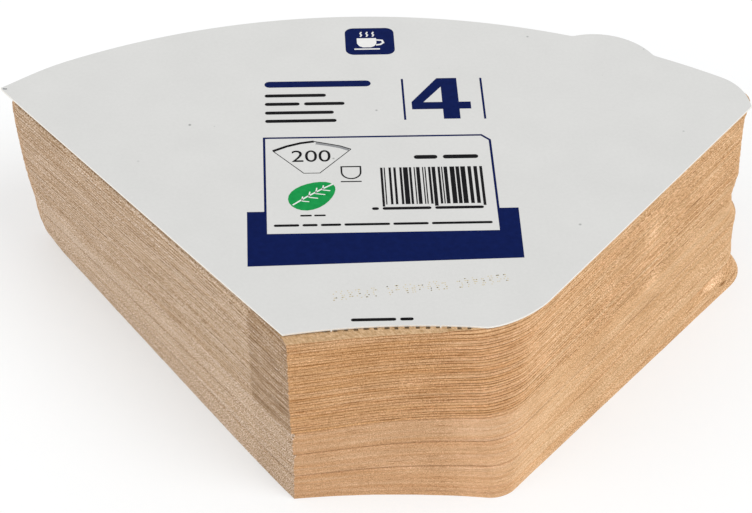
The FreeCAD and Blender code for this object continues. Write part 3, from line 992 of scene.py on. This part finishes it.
def counted_figures(material):
    """The plain count 200 inside the fan figure."""
    text = bpy.data.curves.new("count", "FONT")
    text.body = "200"
    text.size = COUNT_SIZE
    text.align_x = "CENTER"
    text.extrude = INK_THICKNESS / 2
    holder = bpy.data.objects.new("count_text", text)
    bpy.context.scene.collection.objects.link(holder)
    bpy.context.view_layer.update()
    mesh = bpy.data.meshes.new_from_object(holder)
    bpy.data.objects.remove(holder)
    bm = bmesh.new()
    bm.from_mesh(mesh)
    bmesh.ops.remove_doubles(bm, verts=bm.verts, dist=1e-5)
    x, y = COUNT_PLACE
    place = Matrix.Translation(Vector((CENTRE.x + x, CENTRE.y + y, INK_LOW + INK_THICKNESS / 2)) * MM)
    bmesh.ops.transform(bm, matrix=place @ Matrix.Diagonal((MM * 1.1, MM * 1.04, MM, 1)), verts=bm.verts)
    return finished(bm, "count_figures", material)


def date_print(material):
    """A faint row of ochre dots from a coding jet."""
    bm = bmesh.new()
    rng = random.Random(31)
    start, end = DOT_ROW
    step = (end - start).normalized()
    rise = Vector((-step.y, step.x))
    for index in range(DOT_PLACES):
        if index in DOT_SPACES:
            continue
        base = start + step * (index * DOT_STEP)
        for _ in range(DOTS):
            dot = base + step * rng.uniform(0, 1.1) + rise * rng.choice((0, 0.7, 1.4, 2.1, 2.8))
            inked(bm, turn(dot.x, dot.y, DOT_RADIUS, 0, 315, 7))
    return finished(bm, "date_print", material)


# Painted shade in the marks of the hem's crimping wheel
CRIMP_SHADOW_MARKS = 15
CRIMP_START = -12.1
CRIMP_PITCH = 2.4


def crimp_mark_shadows(material):
    """Pressed marks of the crimping wheel, which show just in front of the card as dark plates of painted
    shade.
    """
    bm = bmesh.new()
    rng = random.Random(8)
    edge = card_hem()
    for index in range(CRIMP_SHADOW_MARKS):
        x = CRIMP_START + index * CRIMP_PITCH + rng.uniform(-0.15, 0.15)
        width = 1.0 + rng.uniform(-0.25, 0.2)
        y = min(edge, key=lambda point: abs(point.x - x)).y
        reach = 0.25 + 0.45 * min(1.0, index / 5) + rng.uniform(-0.15, 0.12)
        plate(bm, rectangle(x, x + width, y - reach, y + 1.2), STACK_TOP - 0.05, STACK_TOP - 0.005)
    return finished(bm, "crimp_mark_shadows", material)


def place_piece(piece, slot, *nodes):
    """Ties a piece to the pack."""
    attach(piece, "root")
    if nodes:
        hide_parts(*nodes)


# Stack
edges_loose = filter_paper_edges(
    "filter_paper_folded_edges", 1.0, 0.17, (0.58, 0.36, 0.6), ("#D6A675", "#DBB085"))
edges_pressed = filter_paper_edges(
    "filter_paper_pressed_edges", 0.95, 0.14, (0.47, 0.29, 0.74), ("#D5A87D", "#DAB28C"))
BUNDLES = [
    ("ridged_filters", ridged_rows(), 3, edges_loose),
    ("upper_bundle", pressed_rows(*UPPER_BUNDLE, 41), 4, edges_pressed),
    ("middle_bundle", pressed_rows(*MIDDLE_BUNDLE, 42), 5, edges_pressed),
    ("lower_bundle", pressed_rows(*LOWER_BUNDLE, 43), 6, edges_pressed),
    ("top_filter", top_sheet_rows(), 7, edges_loose),
]
for name, rows, seed, material in BUNDLES:
    bundle = bundle_mesh(name, rows, seed, material)
    place_piece(bundle, "filter_paper", "filter_stack")
    if name == "top_filter":
        bundle.data.materials.append(crimped_hem_paper())
        for polygon in bundle.data.polygons:
            polygon.material_index = int(polygon.normal.z > 0.5)
# Dark plates of painted shade just in front of the card's edge
place_piece(crimp_mark_shadows(crimp_shadow()), "filter_paper")

# Card and print
navy = printing_ink("navy_ink", "#001146", "#03164E")
black = printing_ink("black_ink", "#0A0A0C", "#141416")
place_piece(cover_card(coated_board(), cut_board()), "cover_card", "cover_card")
place_piece(navy_print(navy), "cover_card")
place_piece(black_print(black), "cover_card")
place_piece(grey_print(printing_ink("grey_ink", "#8B8C8E", "#939496")), "cover_card")
place_piece(counted_figures(black), "cover_card")
place_piece(green_print(printing_ink("green_ink", "#118A43", "#1A954C")), "cover_card")
place_piece(white_print(printing_ink("white_ink", "#E4E4E2", "#E9E9E7")), "cover_card")
place_piece(date_print(printing_ink("ochre_ink", "#D3C7A8", "#CCBD98")), "cover_card")


# Studio
FLOOR_HALF = 6.0
# Lamps: name, strength, angular size in degrees and the direction that the light comes from
LAMPS = [("main_lamp", 1.2, 35, (0.52, -0.35, 0.78)), ("fill_lamp", 0.75, 60, (-0.85, -0.3, 0.43))]
# The surrounding light's strength on the pack
SURROUNDING = 0.66


def seen_directly(tree):
    """1 for what the camera sees, also in gloss or glass, and 0 for the light that falls on the pack."""
    rays = add_node(tree, "LightPath").outputs
    mirrored = add_node(tree, "Math", {0: rays["Is Glossy Ray"], 1: rays["Is Transmission Ray"]},
                        operation="MAXIMUM")
    return add_node(tree, "Math", {0: rays["Is Camera Ray"], 1: mirrored}, operation="MAXIMUM")


def floor_finish():
    """Plain white floor; the camera sees it a little whiter than it lights the pack."""
    material, tree = new_material("studio_floor")
    bounce = add_node(tree, "BsdfDiffuse", {"Color": linear("#E6E6E6")})
    white = add_node(tree, "BsdfDiffuse", {"Color": (0.97, 0.99, 1, 1)})
    glow = add_node(tree, "Emission", {"Color": (1, 1, 1, 1), "Strength": 1.0})
    shown = add_node(tree, "MixShader", {0: 0.45, 1: white, 2: glow})
    both = add_node(tree, "MixShader", {0: seen_directly(tree), 1: bounce, 2: shown})
    add_node(tree, "OutputMaterial", {"Surface": both})
    return material


def studio():
    """Floor, even surrounding light, a soft lamp from the front right and a weak one from the left."""
    bm = bmesh.new()
    bmesh.ops.create_grid(bm, x_segments=1, y_segments=1, size=FLOOR_HALF)
    floor = finished(bm, "floor", floor_finish())

    world = bpy.data.worlds.new("studio")
    bpy.context.scene.world = world
    world.use_nodes = True
    tree = world.node_tree
    tree.nodes.clear()
    strength = add_node(tree, "MapRange", {0: seen_directly(tree), 1: 0, 2: 1, 3: SURROUNDING, 4: 1.0})
    light = add_node(tree, "Background", {"Color": (1, 1, 1, 1), "Strength": strength})
    add_node(tree, "OutputWorld", {"Surface": light})

    for name, energy, spread, towards in LAMPS:
        lamp = bpy.data.lights.new(name, "SUN")
        lamp.energy = energy
        lamp.angle = math.radians(spread)
        holder = bpy.data.objects.new(name, lamp)
        bpy.context.scene.collection.objects.link(holder)
        holder.rotation_euler = Vector(towards).to_track_quat("Z", "Y").to_euler()


# Camera: its place, its angles in degrees and its lens in millimetres, at the photograph's viewing angle
CAMERA_PLACE = (-30.44, -481.35, 452.55)
CAMERA_PITCH = 41.711
CAMERA_YAW = 3.504
CAMERA_ROLL = -1.298
SENSOR_WIDTH = 36
FOCAL_LENGTH = 119.56
CAMERA_SHIFT = -0.00146


def camera():
    """Camera above the hem and a little to its left."""
    pitch, yaw, roll = math.radians(CAMERA_PITCH), math.radians(CAMERA_YAW), math.radians(CAMERA_ROLL)
    forward = Vector((math.sin(yaw) * math.cos(pitch), math.cos(yaw) * math.cos(pitch), -math.sin(pitch)))
    level = Vector((math.cos(yaw), -math.sin(yaw), 0))
    down = forward.cross(level)
    right = level * math.cos(roll) + down * math.sin(roll)
    up = level * math.sin(roll) - down * math.cos(roll)
    lens = bpy.data.cameras.new("camera")
    lens.sensor_width = SENSOR_WIDTH
    lens.lens = FOCAL_LENGTH
    lens.shift_x = CAMERA_SHIFT
    holder = bpy.data.objects.new("camera", lens)
    bpy.context.scene.collection.objects.link(holder)
    turned = Matrix((right, up, -forward)).transposed().to_4x4()
    holder.matrix_world = Matrix.Translation(Vector(CAMERA_PLACE) * MM) @ turned
    bpy.context.scene.camera = holder


studio()
camera()
bpy.context.scene.view_settings.view_transform = "Standard"

bpy.context.view_layer.update()
